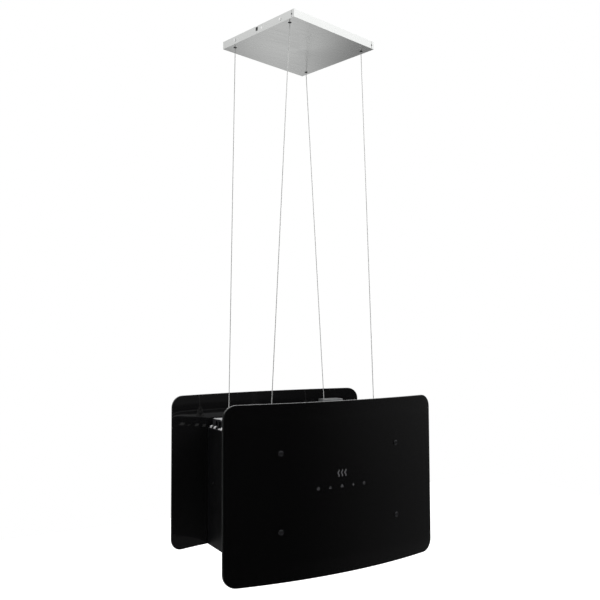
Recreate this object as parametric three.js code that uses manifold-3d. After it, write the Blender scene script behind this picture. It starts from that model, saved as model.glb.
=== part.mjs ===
// Island range hood: two bowed black glass panels either side of a fan housing, hung on four
// wire ropes from a square steel ceiling box. Millimetres, +Z up. The origin is the centre of
// the ceiling bracket's top face; +X is the hood's width and -Y its control side.
import * as THREE from "three";
import { mergeVertices } from "three/addons/utils/BufferGeometryUtils.js";
import Module from "manifold-3d";

const wasm = await Module();
wasm.setup();

// ---------------------------------------------------------------- driving dimensions

const GAP = 0.3; // running gap between touching pieces
const HANG = 1295; // ceiling to the lower edge of the glass

const GLASS = { width: 550, height: 385, thickness: 6, corner: 29, bow: 38, edgeDepth: 345 };
const FIXING = { x: 152, rise: 84.5, headR: 6, headH: 2.6, shankR: 2.5, holeR: 4, bossR: 6.5 };

const BODY = { halfX: 173, sheet: 1.5, bottom: 1, top: 297, edgeY: 188, plateY: 178, plate: 2 };
const FLANGE = 12; // return flanges of the side walls
const PLATE_RETURN = 42; // how far a mounting plate's side returns reach inwards

const DECK = { halfY: 186, boxX: 162, boxY: 180, top: 322, slotPitch: 22, slots: 15, slotW: 14 };
const DECK_SCREW = { x: 167.5, y: 120, hole: 2 };
const DECK_TAB = { x: 166.2, y: [147, 173], length: 13, height: 5 }; // upright tongues on the ledge
const SIDE_SCREW = { y: 148, z: 161, hole: 2.1 };
const GRILLE = { openX: 110, openY: 70, margin: 9, slots: 15, pitch: 13.6, slotW: 8.6 };

const CEILING = { size: 275.3, height: 20, sheet: 1.2, turn: 14.3, bracket: 270, ropeX: 123, ropeY: 106 };
const COVER_SCREW = { y: 88, z: -10, hole: 2.3 };
const BRACKET = { plate: 2, tabHalf: 11, tabLow: -16, ropeHole: 5.3, slotX: 80, slotY: 60 };
const LEAD_HOLE = { y: 62, radius: 18 }; // way in for the supply lead through the bracket
const LEAD_NOTCH = { halfWidth: 4, top: -12.5 }; // open notch in the cover for the supply lead
const ANCHOR_NOSE = -21.5; // lowest point of the rope anchors
const ROPE = { radius: 1, atX: 140, atY: 125, sides: 8, steps: 10 };
const GRIPPER = { top: 345, radius: 6, flangeR: 8.6, bore: 3.8, plungerTop: 352 };

const FAN = { z: 158, wheelR: 70, wheelInnerR: 58, halfWidth: 65, blades: 24, shaftR: 4 };
const SCROLL = { small: 84, large: 112, halfX: 75, wall: 2, inletR: 60, neckIn: 42, top: 297 };
const CHARCOAL = { radius: 86, inner: 77.4, outer: 108, recessR: 78.5 };

const OPENING = { halfX: 150, front: -100.5, rear: 152.5 }; // filter opening in the bottom frame
const FILTER = { halfX: 149.4, front: -99.6, rear: 149.5, low: 1.2, high: 10.2, border: 16 };
const PIVOT = { y: 145, z: 6, radius: 1.6, hole: 2.1 }; // the grease filter's hinge pins
const LAMP = { x: 90, y: -140, radius: 27 };
const KEYS = { pitch: 30, x: -4, z: 193, padR: 5 }; // the five touch keys; x is the middle one
const TERMINAL = { x0: 150, x1: 208, y0: 137, y1: 174, top: 358, wall: 1.2, glandX: 178, glandZ: 343 };

// ---------------------------------------------------------------- materials

function finish(color, roughness, metalness) {
  return new THREE.MeshStandardMaterial({ color, roughness, metalness });
}

const blackGlass = finish(0x060607, 0.06, 0.0);
const brushedSteel = finish(0xb4b6b6, 0.34, 1.0);
const zincSteel = finish(0xc4c6c8, 0.4, 1.0);
const blackSteel = finish(0x101112, 0.42, 0.3);
const galvanised = finish(0x9a9ea1, 0.5, 0.9);
const nickel = finish(0xcfcfcc, 0.22, 1.0);
const darkNickel = finish(0x3a3a3c, 0.35, 0.9);
const capMetal = finish(0x26272a, 0.3, 0.8);
const blackPlastic = finish(0x17181a, 0.55, 0.0);
const greyPlastic = finish(0x4b4e52, 0.6, 0.0);
const aluminium = finish(0xc2c5c8, 0.38, 1.0);
const lensGlass = finish(0xf2f0e6, 0.25, 0.0);
const boardGreen = finish(0x1e4a2c, 0.5, 0.0);

// ---------------------------------------------------------------- solids

// A closed geometry as a manifold-3d solid: shared vertices merged, slivers on an axis dropped.
function solidOf(geometry) {
  const bare = geometry.clone();
  bare.deleteAttribute("normal");
  bare.deleteAttribute("uv");
  const merged = mergeVertices(bare, 1e-4);
  const corners = [];
  for (let i = 0; i < merged.index.count; i += 3) {
    const [a, b, c] = [0, 1, 2].map((k) => merged.index.getX(i + k));
    if (a !== b && b !== c && c !== a) corners.push(a, b, c);
  }
  return new wasm.Manifold(
    new wasm.Mesh({
      numProp: 3,
      vertProperties: merged.attributes.position.array,
      triVerts: new Uint32Array(corners),
    }),
  );
}

function geometryOf(solid) {
  const mesh = solid.getMesh();
  const points = new Float32Array(mesh.numVert * 3);
  for (let i = 0; i < mesh.numVert; i++) {
    points.set(mesh.vertProperties.subarray(i * mesh.numProp, i * mesh.numProp + 3), i * 3);
  }
  const geometry = new THREE.BufferGeometry();
  geometry.setAttribute("position", new THREE.BufferAttribute(points, 3));
  geometry.setIndex(new THREE.BufferAttribute(mesh.triVerts, 1));
  geometry.computeVertexNormals();
  return geometry;
}

function join(first, ...others) {
  return geometryOf(others.reduce((sum, g) => sum.add(solidOf(g)), solidOf(first)));
}

function cut(first, ...tools) {
  return geometryOf(tools.reduce((left, g) => left.subtract(solidOf(g)), solidOf(first)));
}

function common(a, b) {
  return geometryOf(solidOf(a).intersect(solidOf(b)));
}

// The mirror image in X of a geometry, its faces turned the right way round again.
function mirrored(geometry) {
  const image = geometry.clone().scale(-1, 1, 1);
  const index = image.index.array;
  for (let i = 0; i < index.length; i += 3) {
    [index[i + 1], index[i + 2]] = [index[i + 2], index[i + 1]];
  }
  image.computeVertexNormals();
  return image;
}

// A block from its low and high corners.
function block(x0, x1, y0, y1, z0, z1) {
  const geometry = new THREE.BoxGeometry(x1 - x0, y1 - y0, z1 - z0);
  return geometry.translate((x0 + x1) / 2, (y0 + y1) / 2, (z0 + z1) / 2);
}

// Round bars along each axis, from one coordinate to the other.
function barZ(radius, z0, z1, x = 0, y = 0, sides = 24) {
  const geometry = new THREE.CylinderGeometry(radius, radius, z1 - z0, sides);
  return geometry.rotateX(Math.PI / 2).translate(x, y, (z0 + z1) / 2);
}

function barX(radius, x0, x1, y = 0, z = 0, sides = 24) {
  const geometry = new THREE.CylinderGeometry(radius, radius, x1 - x0, sides);
  return geometry.rotateZ(-Math.PI / 2).translate((x0 + x1) / 2, y, z);
}

function barY(radius, y0, y1, x = 0, z = 0, sides = 24) {
  const geometry = new THREE.CylinderGeometry(radius, radius, y1 - y0, sides);
  return geometry.translate(x, (y0 + y1) / 2, z);
}

// A turned piece: [radius, height] pairs running anticlockwise, with its axis on Z.
function turned(profile, sides = 12) {
  const points = profile.map(([r, h]) => new THREE.Vector2(r, h));
  return new THREE.LatheGeometry(points, sides).rotateX(Math.PI / 2);
}

function polygon(points) {
  return new THREE.Shape(points.map(([x, y]) => new THREE.Vector2(x, y)));
}

function roundedRect(width, height, radius) {
  const [x, y] = [width / 2 - radius, height / 2 - radius];
  const shape = new THREE.Shape();
  shape.moveTo(x, -y - radius);
  shape.absarc(x, -y, radius, -Math.PI / 2, 0);
  shape.absarc(x, y, radius, 0, Math.PI / 2);
  shape.absarc(-x, y, radius, Math.PI / 2, Math.PI);
  shape.absarc(-x, -y, radius, Math.PI, 1.5 * Math.PI);
  return shape;
}

// Extrudes an outline drawn in (X, Z) through y0..y1.
function alongY(shape, y0, y1, curveSegments = 6) {
  const options = { depth: y1 - y0, bevelEnabled: false, curveSegments };
  return new THREE.ExtrudeGeometry(shape, options).rotateX(Math.PI / 2).translate(0, y1, 0);
}

// Extrudes an outline drawn in (Y, Z) through x0..x1.
function alongX(shape, x0, x1) {
  const geometry = new THREE.ExtrudeGeometry(shape, { depth: x1 - x0, bevelEnabled: false });
  return geometry.rotateX(Math.PI / 2).rotateZ(Math.PI / 2).translate(x0, 0, 0);
}

// Extrudes an outline drawn in (X, Y) through z0..z1.
function alongZ(shape, z0, z1, curveSegments = 12) {
  const options = { depth: z1 - z0, bevelEnabled: false, curveSegments };
  return new THREE.ExtrudeGeometry(shape, options).translate(0, 0, z0);
}

const root = new THREE.Group();
const ceiling = new THREE.Group();
const hood = new THREE.Group();
ceiling.rotation.z = THREE.MathUtils.degToRad(CEILING.turn);
hood.position.z = -HANG;
root.add(ceiling, hood);

function piece(parent, name, geometry, material) {
  const mesh = new THREE.Mesh(geometry, material);
  mesh.name = name;
  parent.add(mesh);
  return mesh;
}

const CORNERS = [
  ["front_left", -1, -1],
  ["front_right", 1, -1],
  ["rear_left", -1, 1],
  ["rear_right", 1, 1],
];
const SIDES = [
  ["left", -1],
  ["right", 1],
];

// ---------------------------------------------------------------- ceiling box

function ceilingBracket() {
  const half = CEILING.bracket / 2;
  const { plate: t, tabHalf, tabLow, ropeHole, slotX, slotY } = BRACKET;
  let plate = block(-half, half, -half, half, -t, 0);
  for (const [, side] of SIDES) {
    for (const y of [-COVER_SCREW.y, COVER_SCREW.y]) {
      const [x0, x1] = [side * (half - t), side * half].sort((a, b) => a - b);
      const tab = block(x0, x1, y - tabHalf, y + tabHalf, tabLow, -t / 2);
      plate = cut(join(plate, tab), barX(COVER_SCREW.hole, x0 - 3, x1 + 3, y, COVER_SCREW.z, 12));
    }
  }
  const holes = CORNERS.map(([, sx, sy]) =>
    barZ(ropeHole, -4, 2, sx * CEILING.ropeX, sy * CEILING.ropeY, 12),
  );
  // Slots for the ceiling screws.
  const slots = CORNERS.map(([, sx, sy]) =>
    block(-9, 9, -3, 3, -4, 2).translate(sx * slotX, sy * slotY, 0),
  );
  return cut(plate, ...holes, ...slots, barZ(LEAD_HOLE.radius, -4, 2, 0, LEAD_HOLE.y, 20));
}

function ceilingCover() {
  const half = CEILING.size / 2;
  const inner = half - CEILING.sheet;
  const tray = block(-half, half, -half, half, -CEILING.height, -0.6);
  const hollow = block(-inner, inner, -inner, inner, -CEILING.height + 1.5, 2);
  const ropes = CORNERS.map(([, sx, sy]) =>
    barZ(4.6, -CEILING.height - 2, -10, sx * CEILING.ropeX, sy * CEILING.ropeY, 12),
  );
  const screws = [-COVER_SCREW.y, COVER_SCREW.y].map((y) =>
    barX(COVER_SCREW.hole, -half - 5, half + 5, y, COVER_SCREW.z, 12),
  );
  const { halfWidth, top } = LEAD_NOTCH;
  const notch = block(-half - 3, -inner + 3, -halfWidth, halfWidth, top, 3);
  return cut(tray, hollow, ...ropes, ...screws, notch);
}

// Round-headed screw, head up, its seat at height 0.
function roundScrew(headR, headH, shankR, length) {
  const dome = [
    [0, -length],
    [shankR, -length],
    [shankR, GAP],
    [headR, GAP],
    [headR * 0.88, headH * 0.6],
    [headR * 0.5, headH * 0.93],
    [0, headH],
  ];
  return turned(dome, 10);
}

// Threaded bush that holds the swaged end of a rope; its nose shows below the cover.
function ropeAnchor() {
  return turned([
    [0, ANCHOR_NOSE],
    [2.6, ANCHOR_NOSE],
    [4.2, -19.8],
    [4.2, -8],
    [7.5, -8],
    [7.5, -2.4],
    [4.9, -2.4],
    [4.9, -0.5],
    [0, -0.5],
  ]);
}

piece(ceiling, "ceiling_bracket", ceilingBracket(), zincSteel);
piece(ceiling, "ceiling_cover", ceilingCover(), brushedSteel);
for (const [name, side] of SIDES) {
  for (const [end, y] of [
    ["front", -COVER_SCREW.y],
    ["rear", COVER_SCREW.y],
  ]) {
    const screw = piece(ceiling, `cover_screw_${end}_${name}`, roundScrew(3.6, 2.3, 1.8, 9), nickel);
    screw.rotation.y = (side * Math.PI) / 2;
    screw.position.set((side * CEILING.size) / 2, y, COVER_SCREW.z);
  }
}
for (const [name, sx, sy] of CORNERS) {
  const anchor = piece(ceiling, `rope_anchor_${name}`, ropeAnchor(), darkNickel);
  anchor.position.set(sx * CEILING.ropeX, sy * CEILING.ropeY, 0);
}

// ---------------------------------------------------------------- suspension

// The grip's body: a stem through the deck, a flange on it and a barrel with a bore for the plunger.
function ropeGripper() {
  const { top, radius, flangeR, bore } = GRIPPER;
  return turned([
    [0, 306],
    [3.9, 306],
    [3.9, DECK.top + GAP],
    [flangeR, DECK.top + GAP],
    [flangeR, DECK.top + 2.5],
    [radius, DECK.top + 3.5],
    [radius, top - 1],
    [radius - 1, top],
    [bore, top],
    [bore, 327],
    [0, 327],
  ]);
}

// Spring-loaded release plunger with a hole for the rope: pressed down, it frees the rope.
function gripPlunger() {
  const top = GRIPPER.plungerTop;
  return turned([
    [1.5, 331],
    [3.4, 331],
    [3.4, top - 3],
    [4.6, top - 3],
    [4.6, top - 1],
    [3.6, top],
    [1.5, top],
    [1.5, 331],
  ]);
}

function rope(from, to) {
  const circle = new THREE.Shape().absarc(0, 0, ROPE.radius, 0, 2 * Math.PI);
  const outline = new THREE.Shape(circle.getSpacedPoints(ROPE.sides).slice(0, ROPE.sides));
  const extrudePath = new THREE.LineCurve3(from, to);
  return new THREE.ExtrudeGeometry(outline, { steps: ROPE.steps, extrudePath });
}

for (const [name, sx, sy] of CORNERS) {
  const [x, y] = [sx * ROPE.atX, sy * ROPE.atY];
  piece(hood, `rope_gripper_${name}`, ropeGripper(), nickel).position.set(x, y, 0);
  piece(hood, `grip_plunger_${name}`, gripPlunger(), nickel).position.set(x, y, 0);
  const low = new THREE.Vector3(x, y, GRIPPER.plungerTop + GAP - HANG);
  const high = new THREE.Vector3(sx * CEILING.ropeX, sy * CEILING.ropeY, ANCHOR_NOSE - GAP);
  high.applyAxisAngle(new THREE.Vector3(0, 0, 1), ceiling.rotation.z);
  piece(root, `rope_${name}`, rope(low, high), nickel);
}

// ---------------------------------------------------------------- glass panels

const bowR = (GLASS.width ** 2 / 4 + GLASS.bow ** 2) / (2 * GLASS.bow);
const bowCentre = GLASS.edgeDepth / 2 + GLASS.bow - bowR;
const slope = Math.asin(FIXING.x / bowR);
const fixingY = bowCentre + bowR * Math.cos(slope);
const midZ = GLASS.height / 2;

// Turns a piece drawn on +Y, with the glass's outer face at Y = 0, to a fixing's place.
function atFixing(geometry, side, z) {
  return geometry.rotateZ(-side * slope).translate(side * FIXING.x, fixingY, z);
}

const FIXINGS = [
  ["lower_left", -1, midZ - FIXING.rise],
  ["lower_right", 1, midZ - FIXING.rise],
  ["upper_left", -1, midZ + FIXING.rise],
  ["upper_right", 1, midZ + FIXING.rise],
];

function glassPanel() {
  const spread = Math.asin(GLASS.width / 2 / bowR) * 1.05;
  const inner = bowR - GLASS.thickness;
  const [from, to] = [Math.PI / 2 - spread, Math.PI / 2 + spread];
  const band = new THREE.Shape();
  band.absarc(0, bowCentre, bowR, from, to, false);
  band.absarc(0, bowCentre, inner, to, from, true);
  const curved = alongZ(band, -5, GLASS.height + 5, 12);
  const outline = alongY(roundedRect(GLASS.width, GLASS.height, GLASS.corner), 100, 260, 4);
  const panel = common(curved, outline.translate(0, 0, midZ));
  const holes = FIXINGS.map(([, side, z]) => atFixing(barY(FIXING.holeR, -12, 4, 0, 0, 12), side, z));
  return cut(panel, ...holes);
}

function glassCap() {
  const { headR, headH, shankR } = FIXING;
  const cap = turned(
    [
      [0, -25],
      [shankR, -25],
      [shankR, GAP],
      [headR, GAP],
      [headR, headH * 0.7],
      [headR * 0.86, headH],
      [0, headH],
    ],
    14,
  );
  return cap.rotateX(-Math.PI / 2);
}

// ---------------------------------------------------------------- fan housing

// A side wall: C-shaped sheet with return flanges at top and bottom, drawn for the right side.
function sideWall() {
  const { halfX, sheet, bottom, top, edgeY } = BODY;
  const lip = halfX - FLANGE - sheet;
  const outline = polygon([
    [halfX, bottom],
    [halfX, top],
    [lip, top],
    [lip, top - sheet],
    [halfX - sheet, top - sheet],
    [halfX - sheet, bottom + sheet],
    [lip, bottom + sheet],
    [lip, bottom],
  ]);
  const holes = [-DECK_SCREW.y, DECK_SCREW.y].map((y) =>
    barZ(DECK_SCREW.hole, top - 5, top + 5, DECK_SCREW.x, y, 12),
  );
  const screwHole = barX(SIDE_SCREW.hole, halfX - 5, halfX + 5, SIDE_SCREW.y, SIDE_SCREW.z, 12);
  return cut(alongY(outline, -edgeY, edgeY), ...holes, screwHole);
}

// A mounting plate on +Y: flat sheet with side returns and four welded bosses for the glass.
function mountPlate() {
  const { plateY, plate, sheet } = BODY;
  const x = BODY.halfX - sheet - 0.6;
  const outline = polygon([
    [-x, plateY],
    [-x, plateY - PLATE_RETURN],
    [-x + sheet, plateY - PLATE_RETURN],
    [-x + sheet, plateY - plate],
    [x - sheet, plateY - plate],
    [x - sheet, plateY - PLATE_RETURN],
    [x, plateY - PLATE_RETURN],
    [x, plateY],
  ]);
  const reach = (fixingY - plateY) / Math.cos(slope) + 1;
  const bosses = FIXINGS.map(([, side, z]) =>
    atFixing(barY(FIXING.bossR, -reach, -GLASS.thickness - GAP, 0, 0, 14), side, z),
  );
  const bores = FIXINGS.map(([, side, z]) => atFixing(barY(FIXING.shankR + 0.4, -40, 0, 0, 0, 12), side, z));
  const screwHole = barX(SIDE_SCREW.hole, -x - 5, x + 5, SIDE_SCREW.y, SIDE_SCREW.z, 12);
  return cut(join(alongZ(outline, 5, 295), ...bosses), ...bores, screwHole);
}

// Top deck: a ledge on the side walls, with tongues, and a raised plenum box with slotted ends.
function topDeck() {
  const { halfY, boxX, boxY, top, slotPitch, slots, slotW } = DECK;
  const t = BODY.sheet;
  const base = BODY.top + GAP;
  const tabs = CORNERS.flatMap(([, sx, sy]) =>
    DECK_TAB.y.map((y) =>
      block(-t / 2, t / 2, -DECK_TAB.length / 2, DECK_TAB.length / 2, base, base + t + DECK_TAB.height)
        .translate(sx * DECK_TAB.x, sy * y, 0),
    ),
  );
  const hat = join(
    block(-BODY.halfX, BODY.halfX, -halfY, halfY, base, base + t),
    block(-boxX, boxX, -boxY, boxY, base, top),
    ...tabs,
  );
  const tools = [block(-boxX + t, boxX - t, -boxY + t, boxY - t, base - 5, top - t)];
  tools.push(block(-GRILLE.openX, GRILLE.openX, -GRILLE.openY, GRILLE.openY, top - 5, top + 5));
  for (let i = 0; i < slots; i++) {
    const y = (i - (slots - 1) / 2) * slotPitch;
    for (const [, side] of SIDES) {
      tools.push(block(-3, 3, -slotW / 2, slotW / 2, base + 4.5, top - 5).translate(side * boxX, y, 0));
    }
  }
  for (const [, sx, sy] of CORNERS) {
    tools.push(barZ(4.3, top - 5, top + 5, sx * ROPE.atX, sy * ROPE.atY, 14));
    tools.push(barZ(DECK_SCREW.hole, base - 5, base + 5, sx * DECK_SCREW.x, sy * DECK_SCREW.y, 12));
  }
  return cut(hat, ...tools);
}

function outletGrille() {
  const { openX, openY, margin, slots, pitch, slotW } = GRILLE;
  const low = DECK.top + GAP;
  const flange = block(-openX - margin, openX + margin, -openY - margin, openY + margin, low, low + 1.5);
  const tray = block(-openX + 0.5, openX - 0.5, -openY + 0.5, openY - 0.5, low - 4, low + 1);
  const tools = [block(-openX + 2, openX - 2, -openY + 2, openY - 2, low - 6, low)];
  for (let i = 0; i < slots; i++) {
    const x = (i - (slots - 1) / 2) * pitch;
    tools.push(block(x - slotW / 2, x + slotW / 2, -openY + 5, openY - 5, low - 3, low + 4));
  }
  return cut(join(flange, tray), ...tools);
}

// Bottom frame: sheet with the filter opening, an upturned lip round it and two lamp holes.
function bottomFrame() {
  const { halfX, front, rear } = OPENING;
  const t = BODY.sheet;
  const low = BODY.bottom + t + GAP;
  const edge = BODY.halfX - t - 0.8;
  const sheet = block(-edge, edge, -175, 175, low, low + t);
  const lip = block(-halfX - t, halfX + t, front - t, rear + t, low, low + 14);
  const tools = [block(-halfX, halfX, front, rear, low - 5, low + 20)];
  tools.push(block(-12, 12, front - 5, front + 5, low + t + 0.2, low + 20));
  tools.push(barX(PIVOT.hole, -halfX - 5, halfX + 5, PIVOT.y, PIVOT.z, 12));
  for (const [, side] of SIDES) tools.push(barZ(LAMP.radius, low - 5, low + 5, side * LAMP.x, LAMP.y));
  return cut(join(sheet, lip), ...tools);
}

// ---------------------------------------------------------------- fan

// The scroll's outline in (Y, Z) about the fan axis, grown outwards by a wall thickness.
function scrollOutline(grow, top) {
  const { small, large, neckIn } = SCROLL;
  const points = [[large + grow, top]];
  const turns = 22;
  const sweep = THREE.MathUtils.degToRad(297);
  for (let i = 0; i <= turns; i++) {
    const angle = (-sweep * i) / turns;
    const radius = large + (small - large) * (i / turns) + grow;
    points.push([radius * Math.cos(angle), radius * Math.sin(angle)]);
  }
  points.push([neckIn - grow, top]);
  return polygon(points.reverse());
}

function fanScroll() {
  const { halfX, wall, inletR, top } = SCROLL;
  const reach = top - FAN.z;
  const shell = alongX(scrollOutline(wall, reach), -halfX, halfX);
  const hollow = alongX(scrollOutline(0, reach + 10), -halfX + wall, halfX - wall);
  const neck = block(-halfX - 8, halfX + 8, SCROLL.neckIn - 12, SCROLL.large + 12, reach - 1.7, reach);
  // Bayonet collars for the charcoal filters.
  const collars = SIDES.map(([, side]) => {
    const [x0, x1] = [side * halfX, side * (halfX + 8)].sort((a, b) => a - b);
    return cut(barX(77.6, x0 - 1, x1 + 1, 0, 0, 32), barX(74, x0 - 3, x1 + 3, 0, 0, 32));
  });
  const body = cut(join(shell, neck, ...collars), hollow, barX(inletR, -90, 90, 0, 0, 32));
  return body.translate(0, 0, FAN.z);
}

function fanWheel() {
  const { wheelR, wheelInnerR, halfWidth, blades, shaftR } = FAN;
  const parts = [barX(wheelR, 0, 2.5, 0, 0, 24), barX(12, -12, 4, 0, 0, 16)];
  const depth = wheelR - wheelInnerR;
  for (let i = 0; i < blades; i++) {
    const blade = block(-halfWidth + 1, halfWidth - 1, -depth / 2 - 0.5, depth / 2 + 0.5, -0.8, 0.8);
    blade.rotateX(THREE.MathUtils.degToRad(32)).translate(0, (wheelR + wheelInnerR) / 2, 0);
    parts.push(blade.rotateX((i * 2 * Math.PI) / blades));
  }
  const rings = [-halfWidth, halfWidth - 3].map((x) =>
    cut(barX(wheelR + 0.6, x, x + 3, 0, 0, 24), barX(wheelInnerR, x - 2, x + 5, 0, 0, 24)),
  );
  const wheel = join(...parts, ...rings);
  return cut(wheel, barX(shaftR + GAP, -20, 10, 0, 0, 14)).translate(0, 0, FAN.z);
}

// Motor inside the wheel's right half, carried by three arms across the right inlet.
function fanMotor() {
  const can = barX(40, 8, 58, 0, 0, 28);
  const boss = barX(20, 57, 78.5, 0, 0, 20);
  const arms = [0, 1, 2].map((i) =>
    block(75.4, 78.4, 10, 69, -7, 7).rotateX((i * 2 * Math.PI) / 3 + Math.PI / 2),
  );
  return cut(join(can, boss, ...arms), barX(FAN.shaftR + GAP, 0, 30, 0, 0, 14)).translate(0, 0, FAN.z);
}

// Round charcoal filter on the right inlet, with a grip bar to turn it by.
function charcoalFilter() {
  const { radius, inner, outer, recessR } = CHARCOAL;
  const disc = barX(radius, inner, outer - 3, 0, 0, 24);
  const face = barX(radius - 4, outer - 4, outer, 0, 0, 24);
  const grip = block(outer - 2, outer + 9, -24, 24, -3, 3);
  const recess = barX(recessR, inner - 3, inner + 8, 0, 0, 32);
  const well = cut(barX(70, inner, inner + 22, 0, 0, 20), barX(56, inner - 2, inner + 30, 0, 0, 20));
  const core = barX(52, inner - 3, inner + 22, 0, 0, 20);
  return cut(join(disc, face, grip), recess, well, core).translate(0, 0, FAN.z);
}

// ---------------------------------------------------------------- filter, lamps and controls

function greaseFilter() {
  const { halfX, front, rear, low, high, border } = FILTER;
  const [x, y0, y1] = [halfX - border, front + border + 12, rear - border];
  const pads = [block(-x, x, y0, y1, low - 1, low + 3.3), block(-x, x, y0, y1, high - 3.3, high + 1)];
  const pocket = block(-23, 23, front + 3, front + 25, low - 1, 7.1);
  const slot = block(-9.5, 9.5, front - 3, front + 4, 4.4, 7.1);
  const pinLength = 3.6;
  const pins = SIDES.map(([, side]) =>
    barX(PIVOT.radius, -pinLength / 2, pinLength / 2, PIVOT.y, PIVOT.z, 10).translate(side * 150.6, 0, 0),
  );
  return cut(join(block(-halfX, halfX, front, rear, low, high), ...pins), ...pads, pocket, slot);
}

// Spring latch in the filter's front rail; its tongue stops just short of the frame's edge.
function filterLatch() {
  const { front } = FILTER;
  const plate = block(-20, 20, front + 5, front + 17, 1.7, 6.6);
  const tongue = block(-8, 8, front - 0.5, front + 6, 4.8, 6.6);
  const fingerWell = block(-13, 13, front + 8, front + 14.5, 0, 4.2);
  return cut(join(plate, tongue), fingerWell);
}

function lampHousing() {
  const r = LAMP.radius;
  return turned(
    [
      [r - 3, 1],
      [r + 3, 1],
      [r + 3, 2.5],
      [r - 0.5, 2.5],
      [r - 0.5, 20],
      [0, 20],
      [0, 18],
      [r - 3, 18],
      [r - 3, 1],
    ],
    20,
  );
}

function lampLens() {
  return barZ(LAMP.radius - 3.4 - GAP, 1.5, 4, 0, 0, 20);
}

// Touch board behind the control glass: board, nylon posts and a spring pad behind each key.
function touchBoard() {
  const board = block(-82, 82, -199.4, -197.8, 178, 222);
  const posts = CORNERS.map(([, sx, sy]) => barY(3, -198, -BODY.plateY - GAP, sx * 74, 200 + sy * 16, 10));
  const pads = [-2, -1, 0, 1, 2].map((i) => {
    const x = KEYS.x + i * KEYS.pitch;
    const reach = Math.abs(x) + KEYS.padR;
    const nearGlass = bowCentre + Math.sqrt((bowR - GLASS.thickness) ** 2 - reach ** 2);
    return barY(KEYS.padR, GAP - nearGlass, -199, x, KEYS.z, 10);
  });
  const chip = block(-14, 14, -198, -194.5, 184, 196);
  return join(board, ...posts, ...pads, chip);
}

// Terminal box for the supply lead, behind the right rear rope.
function terminalBox() {
  const { x0, x1, y0, y1, top, wall: t, glandX, glandZ } = TERMINAL;
  const low = DECK.top + GAP;
  const shell = block(x0, x1, y0, y1, low, top);
  const hollow = block(x0 + t, x1 - t, y0 + t, y1 - t, low + t, top - t);
  return cut(shell, hollow, barY(7.3, y0 - 5, y0 + 5, glandX, glandZ, 18));
}

function supplyGland() {
  const gland = turned([
    [3.5, -8],
    [7, -8],
    [7, GAP],
    [11, GAP],
    [11, 6],
    [8.6, 7],
    [7.6, 15],
    [3.5, 17],
    [3.5, -8],
  ]);
  return gland.rotateX(Math.PI / 2).translate(TERMINAL.glandX, TERMINAL.y0, TERMINAL.glandZ);
}

for (const [name, turn] of [
  ["rear", 0],
  ["front", Math.PI],
]) {
  const half = new THREE.Group();
  half.rotation.z = turn;
  hood.add(half);
  piece(half, `${name}_glass`, glassPanel(), blackGlass);
  piece(half, `${name}_mount_plate`, mountPlate(), blackSteel);
  for (const [place, side, z] of FIXINGS) {
    // Seen from outside its own panel, a front fixing is on the other hand.
    piece(half, `glass_cap_${name}_${place}`, atFixing(glassCap(), turn ? -side : side, z), capMetal);
  }
}

for (const [name, side] of SIDES) {
  piece(hood, `${name}_side_wall`, side < 0 ? mirrored(sideWall()) : sideWall(), blackSteel);
  const screw = piece(hood, `side_screw_${name}`, roundScrew(3.8, 2, 1.7, 8), nickel);
  screw.rotation.y = (side * Math.PI) / 2;
  screw.position.set(side * BODY.halfX, SIDE_SCREW.y, SIDE_SCREW.z);
  const filter = piece(hood, `charcoal_filter_${name}`, charcoalFilter(), blackPlastic);
  filter.rotation.z = side < 0 ? Math.PI : 0;
  const housing = piece(hood, `lamp_housing_${name}`, lampHousing(), aluminium);
  housing.position.set(side * LAMP.x, LAMP.y, 0);
  const lens = piece(hood, `lamp_lens_${name}`, lampLens(), lensGlass);
  lens.position.set(side * LAMP.x, LAMP.y, 0);
}

for (const [name, sx, sy] of CORNERS) {
  const screw = piece(hood, `deck_screw_${name}`, roundScrew(4, 2.2, 1.6, 6), zincSteel);
  screw.position.set(sx * DECK_SCREW.x, sy * DECK_SCREW.y, BODY.top + GAP + BODY.sheet);
}

piece(hood, "top_deck", topDeck(), galvanised);
piece(hood, "outlet_grille", outletGrille(), blackSteel);
piece(hood, "bottom_frame", bottomFrame(), brushedSteel);
piece(hood, "fan_scroll", fanScroll(), greyPlastic);
piece(hood, "fan_wheel", fanWheel(), greyPlastic);
piece(hood, "fan_shaft", barX(FAN.shaftR, -14, 28, 0, FAN.z, 14), nickel);
piece(hood, "fan_motor", fanMotor(), galvanised);
piece(hood, "grease_filter", greaseFilter(), aluminium);
piece(hood, "filter_latch", filterLatch(), blackPlastic);
piece(hood, "touch_board", touchBoard(), boardGreen);
piece(hood, "terminal_box", terminalBox(), zincSteel);
piece(hood, "supply_gland", supplyGland(), greyPlastic);

export default root;
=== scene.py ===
import math

import bmesh
import bpy
from mathutils import Matrix, Vector


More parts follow.
